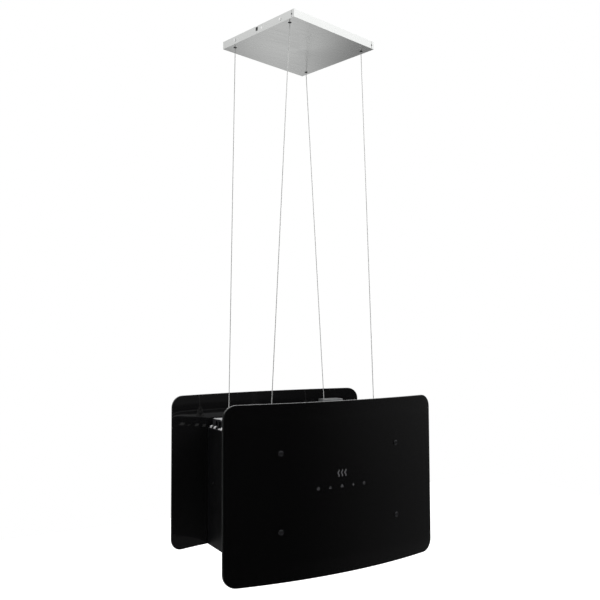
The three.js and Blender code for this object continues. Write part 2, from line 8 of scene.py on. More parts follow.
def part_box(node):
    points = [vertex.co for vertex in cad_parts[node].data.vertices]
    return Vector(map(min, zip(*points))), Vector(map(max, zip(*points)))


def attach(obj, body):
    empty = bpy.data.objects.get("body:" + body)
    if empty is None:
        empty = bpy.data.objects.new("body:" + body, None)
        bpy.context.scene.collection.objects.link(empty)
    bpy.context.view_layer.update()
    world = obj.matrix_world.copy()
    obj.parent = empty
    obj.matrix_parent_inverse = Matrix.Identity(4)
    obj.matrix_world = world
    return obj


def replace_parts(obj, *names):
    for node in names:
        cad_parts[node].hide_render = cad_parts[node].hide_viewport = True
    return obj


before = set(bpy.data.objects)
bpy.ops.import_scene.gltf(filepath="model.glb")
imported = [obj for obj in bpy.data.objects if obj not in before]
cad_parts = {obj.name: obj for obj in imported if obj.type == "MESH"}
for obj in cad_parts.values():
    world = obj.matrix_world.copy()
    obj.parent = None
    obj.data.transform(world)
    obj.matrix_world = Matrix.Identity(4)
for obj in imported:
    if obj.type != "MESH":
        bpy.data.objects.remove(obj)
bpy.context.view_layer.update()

# Island range hood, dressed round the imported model. Metres, +Z up, the ceiling at Z = 0.
MM = 0.001
HAIR = 0.06 * MM  # how far the visual glass stays inside its solid, for the print on it

CORNERS = ("front_left", "front_right", "rear_left", "rear_right")
SIDES = (("left", -1), ("right", 1))

GLASS_LOW, GLASS_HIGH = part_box("rear_glass")
HOOD_Z = GLASS_LOW.z  # lower edge of the glass: heights on the hood count from here
GLASS_T = 6 * MM
GLASS_CORNER = 29 * MM
GLASS_BEVEL = 0.9 * MM
CAP_X = 152 * MM  # the glass caps' distance from the middle
CAP_R, CAP_RISE = 6 * MM, 2.6 * MM
KEY_ROW_X, KEY_ROW_Z, KEY_PITCH = -4, 193, 30  # the touch keys' middle one and spacing, in millimetres

COVER_TURN = math.radians(14.3)  # the ceiling box's turn about Z
COVER_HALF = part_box("ceiling_cover")[1].x / (math.cos(COVER_TURN) + math.sin(COVER_TURN))
COVER_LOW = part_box("ceiling_cover")[0].z
COVER_SCREW_Y = 88 * MM
SEAM_Y = 8.5 * MM  # from the cover's corner to the seam of its tab
SEAM_WIDTH, SEAM_DEPTH = 1.4 * MM, 0.05 * MM

ROPE_R, VALLEY_R = 1.0 * MM, 0.8 * MM  # over the strands, and between them
STRANDS, LAY_LENGTH, RING_STEP = 6, 15 * MM, 1.7 * MM

LEDGE_Z = HOOD_Z + 298.8 * MM  # top of the deck's ledge
DECK_TOP_Z = HOOD_Z + 310 * MM  # level faces above this get a bright zinc as painted light; the rest of the deck keeps a dark paint as painted shade
CLIP_X, CLIP_YS = 166.2 * MM, (102 * MM, 147 * MM, 173 * MM)

MESH_HALF_X, MESH_FRONT, MESH_REAR = 133 * MM, -71.3 * MM, 133.2 * MM  # the grease filter's windows
MESH_LAYERS = (("lower", HOOD_Z + 3.2 * MM), ("upper", HOOD_Z + 8.1 * MM))
MESH_PITCH, MESH_LEAN = 5.2 * MM, 0.6

CAMERA_AT = (-0.8700, -1.6599, HOOD_Z + 0.5209)
CAMERA_ANGLES = (31.978, 3.164, -0.477)  # azimuth, pitch and roll in degrees
CAMERA_LENS, CAMERA_SENSOR, CAMERA_SHIFT = 44.21, 36, -0.092
FLOOR_Z = HOOD_Z - 1.55
PLATE_AXIS = (0.848, -0.530, 0)  # square to the camera's level view: parts the plate's reflections


# ------------------------------------------------------------------ camera, lights, stage

def add_camera():
    """The photograph's view: from the front left, just above the glass, looking slightly up."""
    azimuth, pitch, roll = (math.radians(angle) for angle in CAMERA_ANGLES)
    data = bpy.data.cameras.new("camera")
    data.lens = CAMERA_LENS
    data.sensor_width = CAMERA_SENSOR
    data.shift_x = CAMERA_SHIFT
    data.clip_start = 0.02
    camera = bpy.data.objects.new("camera", data)
    bpy.context.scene.collection.objects.link(camera)
    level = math.cos(pitch)
    look = Vector((math.sin(azimuth) * level, math.cos(azimuth) * level, math.sin(pitch)))
    turn = look.to_track_quat("-Z", "Y").to_matrix().to_4x4() @ Matrix.Rotation(roll, 4, "Z")
    camera.matrix_world = Matrix.Translation(CAMERA_AT) @ turn
    bpy.context.scene.camera = camera


def add_area(name, place, aim, size, energy):
    """A square soft light that doesn't show in reflections."""
    data = bpy.data.lights.new(name, "AREA")
    data.shape = "RECTANGLE"
    data.size = data.size_y = size
    data.energy = energy
    light = bpy.data.objects.new(name, data)
    light.location = place
    light.rotation_euler = (Vector(aim) - Vector(place)).to_track_quat("-Z", "Y").to_euler()
    light.visible_glossy = False
    light.visible_camera = False
    bpy.context.scene.collection.objects.link(light)


def map_range(tree, value, start, end, low, high, curve="LINEAR"):
    """Maps a value from start..end to low..high."""
    node = tree.nodes.new("ShaderNodeMapRange")
    node.interpolation_type = curve
    for socket, number in zip(("From Min", "From Max", "To Min", "To Max"), (start, end, low, high)):
        node.inputs[socket].default_value = number
    tree.links.new(value, node.inputs["Value"])
    return node.outputs["Result"]


def add_world():
    """White to the camera; to everything else a studio whose brightness goes by direction."""
    world = bpy.data.worlds.new("studio")
    bpy.context.scene.world = world
    world.use_nodes = True
    tree = world.node_tree
    tree.nodes.clear()

    def step(value, start, end, low=0.0, high=1.0):
        return map_range(tree, value, start, end, low, high, "SMOOTHSTEP")

    def combine(operation, first, *others):
        for other in others:
            node = tree.nodes.new("ShaderNodeMath")
            node.operation = operation
            tree.links.new(first, node.inputs[0])
            tree.links.new(other, node.inputs[1])
            first = node.outputs[0]
        return first

    def times(*values):
        return combine("MULTIPLY", *values)

    def blend(amount, first, second):
        node = tree.nodes.new("ShaderNodeMix")
        tree.links.new(amount, node.inputs["Factor"])
        for socket, value in zip(node.inputs[2:4], (first, second)):
            if isinstance(value, float):
                socket.default_value = value
            else:
                tree.links.new(value, socket)
        return node.outputs[0]

    coords = tree.nodes.new("ShaderNodeTexCoord")
    split = tree.nodes.new("ShaderNodeSeparateXYZ")
    tree.links.new(coords.outputs["Generated"], split.inputs[0])
    across = tree.nodes.new("ShaderNodeVectorMath")
    across.operation = "DOT_PRODUCT"
    across.inputs[1].default_value = PLATE_AXIS
    tree.links.new(coords.outputs["Generated"], across.inputs[0])
    x, y, z = split.outputs
    side = across.outputs["Value"]

    # Towards the floor: a bright strip that the ceiling plate's underside mirrors, dark beside it
    # where the glass mirrors the floor, and bright again further out.
    strip = times(step(side, -0.22, -0.08, 0.16, 0.90), step(side, -0.08, 0.02, 1.0, 0.0))
    dark_floor = step(x, 0.1, 0.9, 0.02, 0.14)
    floor_left = step(side, -0.30, -0.50, 0.0, 0.75)
    floor_right = times(step(side, 0.18, 0.42, 0.0, 0.75), step(z, -0.52, -0.62))
    below = combine("MAXIMUM", strip, dark_floor, floor_left, floor_right)

    # Round the horizon: a dim glow towards +X for the front glass, and pale cards round the rest.
    glow_right = times(step(x, 0.15, 0.90, 0.024, 0.16), step(z, -0.22, -0.05, 0.76, 1.18))
    card_rear = times(step(y, 0.1, 0.5), step(x, -0.35, 0.0, 0.0, 0.30))
    card_left = step(x, -0.75, -0.95, 0.0, 0.20)
    card_front = times(step(y, -0.1, -0.5), step(x, -0.28, -0.60, 0.0, 0.32))
    horizon = combine("ADD", glow_right, card_rear, card_left, card_front)

    # Overhead: a bright ceiling, and a window at the rear right that lights the top edges.
    window = times(step(y, 0.3, 0.6), step(x, 0.0, 0.3), step(z, 0.0, 0.08))
    ceiling = step(x, -0.3, 0.7, 0.85, 1.30)
    room = blend(step(z, -0.30, -0.38), horizon, below)
    room = blend(window, room, 1.4)
    room = blend(step(z, 0.20, 0.38), room, ceiling)
    room = blend(step(z, 0.60, 0.85), room, 1.0)

    out = tree.nodes.new("ShaderNodeOutputWorld")
    mix = tree.nodes.new("ShaderNodeMixShader")
    path = tree.nodes.new("ShaderNodeLightPath")
    white = tree.nodes.new("ShaderNodeBackground")
    white.inputs["Color"].default_value = (1, 1, 1, 1)
    studio = tree.nodes.new("ShaderNodeBackground")
    tree.links.new(room, studio.inputs["Color"])
    tree.links.new(path.outputs["Is Camera Ray"], mix.inputs["Fac"])
    tree.links.new(studio.outputs[0], mix.inputs[1])
    tree.links.new(white.outputs[0], mix.inputs[2])
    tree.links.new(mix.outputs[0], out.inputs["Surface"])


def add_floor():
    bpy.ops.mesh.primitive_plane_add(size=14, location=(0, 0, FLOOR_Z))
    floor = bpy.context.object
    floor.name = "floor"
    made = bpy.data.materials.new("floor_white")
    made.use_nodes = True
    bsdf = made.node_tree.nodes["Principled BSDF"]
    bsdf.inputs["Base Color"].default_value = (0.94, 0.94, 0.94, 1)
    bsdf.inputs["Roughness"].default_value = 0.9
    bsdf.inputs["Emission Color"].default_value = (1, 1, 1, 1)
    bsdf.inputs["Emission Strength"].default_value = 0.45
    floor.data.materials.append(made)
    floor.visible_glossy = False


bpy.context.scene.view_settings.view_transform = "Standard"
add_camera()
add_world()
add_floor()
add_area("key", place=(2.6, -2.4, 1.2), aim=(0, 0, -0.5), size=2.2, energy=90)
add_area("fill", place=(-3.0, -1.6, 0.2), aim=(0, 0, -0.7), size=2.0, energy=14)


# ------------------------------------------------------------------ materials

class Finish:
    """A procedural material: a Principled shader and small helpers that feed it."""

    def __init__(self, name, color, roughness, metallic=0.0, **sockets):
        self.material = bpy.data.materials.new(name)
        self.material.use_nodes = True
        self.tree = self.material.node_tree
        self.bsdf = self.tree.nodes["Principled BSDF"]
        self.color = color
        self.set("Base Color", (*color, 1))
        self.set("Roughness", roughness)
        self.set("Metallic", metallic)
        for socket, value in sockets.items():
            self.set(socket.replace("_", " "), value)
        self.coords = self.tree.nodes.new("ShaderNodeTexCoord").outputs["Object"]

    def set(self, socket, value):
        self.bsdf.inputs[socket].default_value = value

    def stretched(self, scale, turn):
        """The object's coordinates, turned about Z and scaled along each axis."""
        node = self.tree.nodes.new("ShaderNodeMapping")
        node.inputs["Scale"].default_value = scale
        node.inputs["Rotation"].default_value = (0, 0, turn)
        self.tree.links.new(self.coords, node.inputs["Vector"])
        return node.outputs[0]

    def noise(self, scale, detail=3.0, vector=None):
        node = self.tree.nodes.new("ShaderNodeTexNoise")
        node.inputs["Scale"].default_value = scale
        node.inputs["Detail"].default_value = detail
        self.tree.links.new(vector or self.coords, node.inputs["Vector"])
        return node.outputs["Fac"]

    def cells(self, scale):
        """Patches of random brightness."""
        node = self.tree.nodes.new("ShaderNodeTexVoronoi")
        node.inputs["Scale"].default_value = scale
        self.tree.links.new(self.coords, node.inputs["Vector"])
        bright = self.tree.nodes.new("ShaderNodeSeparateColor")
        self.tree.links.new(node.outputs["Color"], bright.inputs[0])
        return bright.outputs[0]

    def spread(self, value, low, high, start=0.25, end=0.75):
        return map_range(self.tree, value, start, end, low, high)

    def tint(self, value, dark, light, start=0.25, end=0.75):
        """Base colour between two strengths of the finish's own colour."""
        node = self.tree.nodes.new("ShaderNodeMix")
        node.data_type = "RGBA"
        for socket, strength in zip(node.inputs[6:8], (dark, light)):
            socket.default_value = (*(min(1, c * strength) for c in self.color), 1)
        self.tree.links.new(self.spread(value, 0, 1, start, end), node.inputs[0])
        self.tree.links.new(node.outputs[2], self.bsdf.inputs["Base Color"])

    def rough(self, value, low, high):
        """Roughness between two values."""
        self.tree.links.new(self.spread(value, low, high), self.bsdf.inputs["Roughness"])

    def bump(self, value, distance, strength=1.0):
        node = self.tree.nodes.new("ShaderNodeBump")
        node.inputs["Distance"].default_value = distance
        node.inputs["Strength"].default_value = strength
        self.tree.links.new(value, node.inputs["Height"])
        self.tree.links.new(node.outputs[0], self.bsdf.inputs["Normal"])


def black_glass():
    """The polished outer face of the panels."""
    f = Finish("black_glass", (0.0011, 0.0011, 0.0012), 0.05, Specular_IOR_Level=0.42)
    f.rough(f.noise(7, 4), 0.035, 0.075)
    f.tint(f.noise(3), 0.8, 1.2)
    f.bump(f.noise(4.5, 1), 0.0002, 0.25)
    return f.material


def glass_edge():
    """The ground and polished edge of the glass."""
    f = Finish("glass_edge", (0.006, 0.0072, 0.0068), 0.2, Specular_IOR_Level=0.6)
    f.rough(f.noise(120), 0.14, 0.27)
    f.tint(f.noise(60), 0.75, 1.15)
    return f.material


def print_ink(name, color):
    """A thin dull colour, such as screen-printed ink."""
    f = Finish(name, color, 0.35)
    f.tint(f.noise(900), 0.85, 1.1)
    f.rough(f.noise(400), 0.3, 0.42)
    return f.material


def glass_back():
    """Black enamel fired on the inner face of the glass."""
    f = Finish("glass_back_enamel", (0.0034, 0.0034, 0.0036), 0.06, Specular_IOR_Level=0.28)
    f.rough(f.noise(30), 0.045, 0.08)
    f.tint(f.noise(5), 0.8, 1.25)
    return f.material


def brushed(name, color, roughness, scale, turn=0.0):
    """Metal with fine lines along X, turned about Z."""
    f = Finish(name, color, roughness, 1.0, Anisotropic=0.3)
    lines = f.noise(1.0, 6, f.stretched(scale, turn))
    f.rough(lines, roughness - 0.05, roughness + 0.06)
    f.tint(lines, 0.96, 1.03)
    f.bump(lines, 0.00001, 0.5)
    return f.material


def plated(name, color, roughness, scale=300, metallic=1.0):
    """Plain metal with faint stains."""
    f = Finish(name, color, roughness, metallic)
    stains = f.noise(scale, 4)
    f.rough(stains, roughness - 0.05, roughness + 0.08)
    f.tint(f.noise(scale / 6), 0.88, 1.06)
    f.bump(stains, 0.00002, 0.5)
    return f.material


def spangled(name, color, roughness, metallic=0.9):
    """Hot-dip zinc with its crystal pattern."""
    f = Finish(name, color, roughness, metallic)
    spangle = f.cells(110)
    f.rough(spangle, roughness - 0.1, roughness + 0.1)
    f.tint(spangle, 0.8, 1.12, 0, 1)
    f.bump(f.noise(500), 0.00002, 0.4)
    return f.material


def powder_coat(name, color, roughness):
    """Baked paint with a fine grain."""
    f = Finish(name, color, roughness, Specular_IOR_Level=0.25)
    f.rough(f.noise(40), roughness - 0.05, roughness + 0.07)
    f.tint(f.noise(25), 0.85, 1.2)
    f.bump(f.noise(1400, 2), 0.00006, 0.7)
    return f.material


def moulded(name, color, roughness):
    """Moulded plastic with a fine texture."""
    f = Finish(name, color, roughness)
    f.rough(f.noise(90), roughness - 0.07, roughness + 0.08)
    f.tint(f.noise(30), 0.88, 1.12)
    f.bump(f.noise(2200, 2), 0.00005, 0.6)
    return f.material


def lamp_lens():
    """Frosted plastic with fine prisms."""
    f = Finish("frosted_lens", (0.86, 0.85, 0.80), 0.3, Transmission_Weight=0.35)
    f.rough(f.noise(300), 0.24, 0.4)
    f.tint(f.noise(200), 0.94, 1.0)
    f.bump(f.cells(900), 0.0001, 0.5)
    return f.material


def circuit_board():
    """Green solder mask with the copper's pattern under it."""
    f = Finish("solder_mask", (0.02, 0.10, 0.045), 0.4)
    f.rough(f.noise(300), 0.3, 0.5)
    f.tint(f.cells(260), 0.7, 1.3, 0, 1)
    f.bump(f.cells(260), 0.00004, 0.6)
    return f.material


BLACK_GLASS = black_glass()
GLASS_EDGE = glass_edge()
GLASS_BACK = glass_back()
PRINT = print_ink("key_print", (0.070, 0.070, 0.074))
SIGN = print_ink("sign_print", (0.095, 0.095, 0.10))
SEAM_SHADE = print_ink("seam_shadow", (0.12, 0.12, 0.12))  # painted shade: a dark sheet in the gap beside a tab of the cover
COVER_STEEL = brushed("cover_brushed_steel", (0.78, 0.79, 0.78), 0.24, (6, 900, 900), -COVER_TURN)
FRAME_STEEL = brushed("frame_brushed_steel", (0.58, 0.59, 0.59), 0.32, (6, 900, 900))
ROPE_STEEL = plated("rope_steel", (0.90, 0.90, 0.89), 0.45, 800)
NICKEL = plated("nickel_plate", (0.74, 0.74, 0.72), 0.2)
DARK_NICKEL = plated("black_nickel", (0.05, 0.05, 0.052), 0.32)
CAP_METAL = plated("cap_metal", (0.058, 0.059, 0.062), 0.28)
ZINC = plated("zinc_plate", (0.68, 0.69, 0.70), 0.36, 90)
BRIGHT_ZINC = plated("bright_zinc", (0.96, 0.96, 0.96), 0.35, 90, metallic=0.15)
GALVANISED = spangled("galvanised_sheet", (0.50, 0.51, 0.52), 0.42)
# painted light and shade on the deck, chosen by face direction: a bright zinc for its level top, a dark paint
# for its sides and ledge
DECK_TOP_LIT = spangled("deck_top_lit_zinc", (0.80, 0.81, 0.82), 0.42, metallic=0.35)
DECK_SIDE_SHADED = powder_coat("deck_side_shaded_paint", (0.022, 0.022, 0.024), 0.40)
BLACK_PAINT = powder_coat("black_powder_coat", (0.005, 0.005, 0.0055), 0.36)
BLACK_PLASTIC = moulded("black_plastic", (0.016, 0.016, 0.018), 0.5)
GREY_PLASTIC = moulded("grey_plastic", (0.085, 0.09, 0.095), 0.5)
ALUMINIUM = plated("satin_aluminium", (0.66, 0.67, 0.68), 0.36, 200)
LENS = lamp_lens()
BOARD = circuit_board()


# ------------------------------------------------------------------ mesh helpers

def finish_mesh(name, bm, materials, body, smooth_angle=32):
    """Turns a bmesh into a piece that rides on a body, smooth except across sharp edges."""
    bmesh.ops.recalc_face_normals(bm, faces=bm.faces)
    limit = math.radians(smooth_angle)
    for face in bm.faces:
        face.smooth = True
    for edge in bm.edges:
        edge.smooth = edge.is_manifold and edge.calc_face_angle(0) < limit
    mesh = bpy.data.meshes.new(name)
    bm.to_mesh(mesh)
    bm.free()
    for material in materials if isinstance(materials, (list, tuple)) else [materials]:
        mesh.materials.append(material)
    piece = bpy.data.objects.new(name, mesh)
    bpy.context.scene.collection.objects.link(piece)
    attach(piece, body)
    return piece


def lathe(bm, profile, sides, matrix):
    """Adds a turned solid to a bmesh: (radius, height) pairs about Z, closed at both ends."""
    turns = [2 * math.pi * i / sides for i in range(sides)]
    rings = []
    for radius, height in profile:
        points = [(radius * math.cos(a), radius * math.sin(a), height) for a in turns]
        if radius == 0:  # on the axis: one point
            points = points[:1]
        rings.append([bm.verts.new(matrix @ Vector(point)) for point in points])
    pairs = list(zip(rings, rings[1:]))
    if len(rings[0]) > 1:  # a profile that closes on itself
        pairs.append((rings[-1], rings[0]))
    for low, high in pairs:
        for i in range(sides):
            j = (i + 1) % sides
            corners = [low[i % len(low)], low[j % len(low)], high[j % len(high)], high[i % len(high)]]
            corners = list(dict.fromkeys(corners))
            if len(corners) > 2:
                bm.faces.new(corners)


def rounded(profile, radius, steps=3):
    """Rounds the corners of a (radius, height) profile between its two ends."""
    points = [Vector(p) for p in profile]
    out = [profile[0]]
    for before, at, after in zip(points, points[1:], points[2:]):
        a, b = before - at, after - at
        reach = min(radius, a.length * 0.45, b.length * 0.45)
        start, end = at + a.normalized() * reach, at + b.normalized() * reach
        for i in range(steps + 1):
            t = i / steps
            p = start * (1 - t) ** 2 + at * 2 * t * (1 - t) + end * t ** 2
            out.append((p.x, p.y))
    out.append(profile[-1])
    return out


def prism(bm, first, last):
    """Adds the solid between two matching outlines of points."""
    low, high = ([bm.verts.new(point) for point in outline] for outline in (first, last))
    bm.faces.new(low[::-1])
    bm.faces.new(high)
    for i in range(len(low)):
        j = (i + 1) % len(low)
        bm.faces.new([low[i], low[j], high[j], high[i]])


def pointing(at, axis):
    """Places a shape made along +Z at a point, along an axis."""
    return Matrix.Translation(at) @ Vector(axis).to_track_quat("Z", "Y").to_matrix().to_4x4()


def mm(*pairs):
    """A (radius, height) profile given in millimetres."""
    return [(r * MM, h * MM) for r, h in pairs]


def centre(node):
    low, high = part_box(node)
    return (low + high) / 2


# ------------------------------------------------------------------ suspension ropes

def rope_route(corner):
    """From the grip's plunger straight up to the ceiling anchor's nose."""
    low = centre(f"grip_plunger_{corner}")
    low.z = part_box(f"grip_plunger_{corner}")[1].z + 0.3 * MM
    high = centre(f"rope_anchor_{corner}")
    high.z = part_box(f"rope_anchor_{corner}")[0].z - 0.3 * MM
    return low, high


def add_rope(corner):
    """Stranded wire rope: a six-lobed section that twists on its way up."""
    low, high = rope_route(corner)
    along = (high - low).normalized()
    side = along.orthogonal().normalized()
    across = along.cross(side)
    length = (high - low).length
    rings = int(length / RING_STEP)
    bm = bmesh.new()
    last = None
    for i in range(rings + 1):
        rise = length * i / rings
        at = low + along * rise
        twist = 2 * math.pi * rise / LAY_LENGTH
        ring = []
        for k in range(2 * STRANDS):
            angle = twist + math.pi * k / STRANDS
            r = VALLEY_R if k % 2 else ROPE_R
            ring.append(bm.verts.new(at + (side * math.cos(angle) + across * math.sin(angle)) * r))
        if last is None:
            bm.faces.new(ring)
        else:
            for k in range(2 * STRANDS):
                j = (k + 1) % (2 * STRANDS)
                bm.faces.new([last[k], last[j], ring[j], ring[k]])
        last = ring
    bm.faces.new(last)
    rope = finish_mesh(f"wire_rope_{corner}", bm, ROPE_STEEL, "hood", 70)
    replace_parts(rope, f"rope_{corner}")


for corner_name in CORNERS:
    add_rope(corner_name)


# ------------------------------------------------------------------ glass panels

def bow_of_glass():
    """Outer radius and centre of the rear panel's bow, worked out from its box."""
    deep = GLASS_HIGH.y - GLASS_LOW.y
    half = GLASS_HIGH.x
    radius = (deep ** 2 + half ** 2 - GLASS_T ** 2) / (2 * (deep - GLASS_T))
    return radius, GLASS_HIGH.y - radius


BOW_R, BOW_Y = bow_of_glass()


def bowed_point(x, z, radius, hand):
    """A point on a bowed face of the given radius; hand is 1 at the rear, -1 in front."""
    return x, hand * (BOW_Y + math.sqrt(radius ** 2 - x ** 2)), z


def glass_stations():
    """Where the panel's columns stand: close together round the corners, even between them."""
    corner_steps, middle_steps = 10, 48
    half, c = GLASS_HIGH.x, GLASS_CORNER
    bend = [c - c * math.cos(math.pi / 2 * i / corner_steps) for i in range(corner_steps + 1)]
    stations = [-half + a for a in bend]
    stations += [-half + c + 2 * (half - c) * i / middle_steps for i in range(1, middle_steps)]
    stations += [half - a for a in reversed(bend)]
    return stations


def outline_of(columns):
    """The vertices round a sheet: along its bottom, up, back along its top and down."""
    bottom = [column[0] for column in columns]
    top = [column[-1] for column in reversed(columns[:-1])]
    return bottom + columns[-1][1:] + top + columns[0][-2:0:-1]


def add_glass(name, hand):
    """A bowed panel with round corners and a ground edge; hand is 1 at the rear, -1 in front."""
    half, c, rows = GLASS_HIGH.x, GLASS_CORNER, 8
    front_face, edge_face, back_face = range(3)
    bm = bmesh.new()

    def column(x, radius):
        inset = max(0.0, abs(x) - (half - c))
        cut = c - math.sqrt(max(0.0, c * c - inset * inset))
        low, high = GLASS_LOW.z + cut, GLASS_HIGH.z - cut
        heights = [low + (high - low) * k / rows for k in range(rows + 1)]
        return [bm.verts.new(bowed_point(x, z, radius, hand)) for z in heights]

    rims = []
    for radius, index in ((BOW_R - HAIR, front_face), (BOW_R - GLASS_T + HAIR, back_face)):
        columns = [column(x, radius) for x in glass_stations()]
        for a, b in zip(columns, columns[1:]):
            for k in range(rows):
                bm.faces.new([a[k], b[k], b[k + 1], a[k + 1]]).material_index = index
        rims.append(outline_of(columns))
    outer, inner = rims
    for i in range(len(outer)):
        j = (i + 1) % len(outer)
        bm.faces.new([outer[i], outer[j], inner[j], inner[i]]).material_index = edge_face
    bmesh.ops.recalc_face_normals(bm, faces=bm.faces)
    arrises = [e for e in bm.edges if len({face.material_index for face in e.link_faces}) == 2]
    bmesh.ops.bevel(bm, geom=arrises, offset=GLASS_BEVEL, segments=3, profile=0.5,
                    affect="EDGES", material=edge_face)
    materials = [BLACK_GLASS, GLASS_EDGE, GLASS_BACK]
    panel = finish_mesh(f"{name}_glass_panel", bm, materials, "hood", 40)
    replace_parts(panel, f"{name}_glass")


add_glass("rear", 1)
add_glass("front", -1)


def add_glass_cap(node):
    """Cap screw on the glass: a flat head with a rounded rim, a ring groove and a round recess."""
    hand = 1 if "rear" in node else -1
    x = -CAP_X if "left" in node else CAP_X
    slope = math.asin(x / BOW_R)
    outwards = Vector((math.sin(slope), hand * math.cos(slope), 0))
    matrix = pointing(bowed_point(x, centre(node).z, BOW_R, hand), outwards)
    shank, depth, seat = 2.4 * MM, 24 * MM, 0.3 * MM
    r, h = CAP_R, CAP_RISE
    profile = [(0, -depth), (shank, -depth), (shank, seat), (r, seat), (r, h * 0.72),
               (r * 0.84, h), (r * 0.62, h), (r * 0.58, h * 0.86), (r * 0.46, h * 0.86), (r * 0.42, h),
               (r * 0.34, h), (r * 0.34, h * 0.3), (0, h * 0.3)]
    bm = bmesh.new()
    lathe(bm, rounded(profile, 0.25 * MM), 40, matrix)
    cap = finish_mesh(f"{node}_head", bm, CAP_METAL, "hood")
    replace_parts(cap, node)


for node_name in sorted(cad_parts):
    if node_name.startswith("glass_cap"):
        add_glass_cap(node_name)


# ------------------------------------------------------------------ CAD nodes that stay

def dress(node, material, bevel):
    """A CAD node keeps its shape and gets its material, softened edges and smooth curves."""
    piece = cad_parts[node]
    piece.data.materials.clear()
    piece.data.materials.append(material)
    for polygon in piece.data.polygons:
        polygon.material_index = 0
        polygon.use_smooth = True
    for stored in ("custom_normal", "sharp_edge"):  # the modifiers below work the shading out
        if stored in piece.data.attributes:
            piece.data.attributes.remove(piece.data.attributes[stored])
    weld = piece.modifiers.new("weld", "WELD")
    weld.merge_threshold = 0.00001
    if bevel:
        flat = piece.modifiers.new("flat", "DECIMATE")
        flat.decimate_type = "DISSOLVE"
        flat.angle_limit = math.radians(1)
        soften = piece.modifiers.new("soften", "BEVEL")
        soften.width = bevel
        soften.segments = 2
        soften.limit_method = "ANGLE"
        soften.angle_limit = math.radians(40)
        soften.use_clamp_overlap = True
    crease = piece.modifiers.new("crease", "EDGE_SPLIT")
    crease.split_angle = math.radians(34)
    even = piece.modifiers.new("even", "WEIGHTED_NORMAL")
    even.weight = 100


DRESSED = {
    "ceiling_bracket": (ZINC, 0),
    "ceiling_cover": (COVER_STEEL, 0.9 * MM),
    # the deck's dark paint is painted shade; its level top gets the painted light further down
    "top_deck": (DECK_SIDE_SHADED, 0.5 * MM),
    "outlet_grille": (BLACK_PAINT, 0.3 * MM),
    "bottom_frame": (FRAME_STEEL, 0.3 * MM),
    "left_side_wall": (BLACK_PAINT, 0.6 * MM),
    "right_side_wall": (BLACK_PAINT, 0.6 * MM),
    "front_mount_plate": (BLACK_PAINT, 0.4 * MM),
    "rear_mount_plate": (BLACK_PAINT, 0.4 * MM),
    "fan_scroll": (GREY_PLASTIC, 0),
    "fan_wheel": (GREY_PLASTIC, 0),
    "fan_shaft": (NICKEL, 0.3 * MM),
    "fan_motor": (GALVANISED, 0.6 * MM),
    "charcoal_filter_left": (BLACK_PLASTIC, 0.6 * MM),
    "charcoal_filter_right": (BLACK_PLASTIC, 0.6 * MM),
    "filter_latch": (BLACK_PLASTIC, 0.3 * MM),
    "touch_board": (BOARD, 0.15 * MM),
    "terminal_box": (ZINC, 0.6 * MM),
}
for node_name, (node_material, node_bevel) in DRESSED.items():
    dress(node_name, node_material, node_bevel)


def paint_deck_light_and_shade():
    """Painted light and shade: the deck's raised top (its level faces above DECK_TOP_Z) gets a bright zinc as
    painted light, its sides and ledge a dark paint as painted shade.
    """
    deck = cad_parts["top_deck"].data
    deck.materials.append(DECK_TOP_LIT)
    for polygon in deck.polygons:
        level = abs(polygon.normal.z) > 0.5
        polygon.material_index = 1 if level and polygon.center.z > DECK_TOP_Z else 0


paint_deck_light_and_shade()


# ------------------------------------------------------------------ turned parts

def add_turned(name, node, profile, matrix, material, body, radius=0.25 * MM, sides=36):
    """A turned piece in place of its CAD node, its corners rounded by the given radius."""
    bm = bmesh.new()
    lathe(bm, rounded(profile, radius) if radius else profile, sides, matrix)
    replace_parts(finish_mesh(name, bm, material, body), node)


def pan_head(head, rise, shank, length):
    """A pan-headed screw, head up, with a driver's recess; its seat is at height 0."""
    return mm((0, -length), (shank, -length), (shank, 0.3), (head, 0.3), (head * 0.97, rise * 0.55),
              (head * 0.62, rise * 0.96), (head * 0.34, rise), (head * 0.24, rise * 0.45), (0, rise * 0.4))


def on_cover(x, y, z):
    """A point given on the turned ceiling box, in the shared frame."""
    return Matrix.Rotation(COVER_TURN, 4, "Z") @ Vector((x, y, z))


def above(node, z):
    """Upright placing on a node's axis, with height 0 at z."""
    at = centre(node)
    return Matrix.Translation((at.x, at.y, z))


def add_cover_screw(side_name, hand, end_name, end):
    """One of the screws in the ceiling cover's left and right sides."""
    node = f"cover_screw_{end_name}_{side_name}"
    seat = on_cover(hand * COVER_HALF, end * COVER_SCREW_Y, centre(node).z)
    add_turned(f"{node}_head", node, pan_head(3.6, 2.3, 1.8, 9), pointing(seat, on_cover(hand, 0, 0)),
               BRIGHT_ZINC, "hood")


def add_rope_bush(corner):
    """Anchor at the ceiling: a flange, a threaded bush and a nose that the rope leaves."""
    node = f"rope_anchor_{corner}"
    profile = mm((0, -21.5), (1.6, -21.5), (2.6, -21.3), (4.2, -19.6), (4.2, -9.4), (3.9, -9),
                 (3.9, -8.4), (7.5, -8), (7.5, -2.4), (4.9, -2.4), (4.9, -0.5), (0, -0.5))
    add_turned(f"rope_bush_{corner}", node, profile, above(node, 0), DARK_NICKEL, "hood")


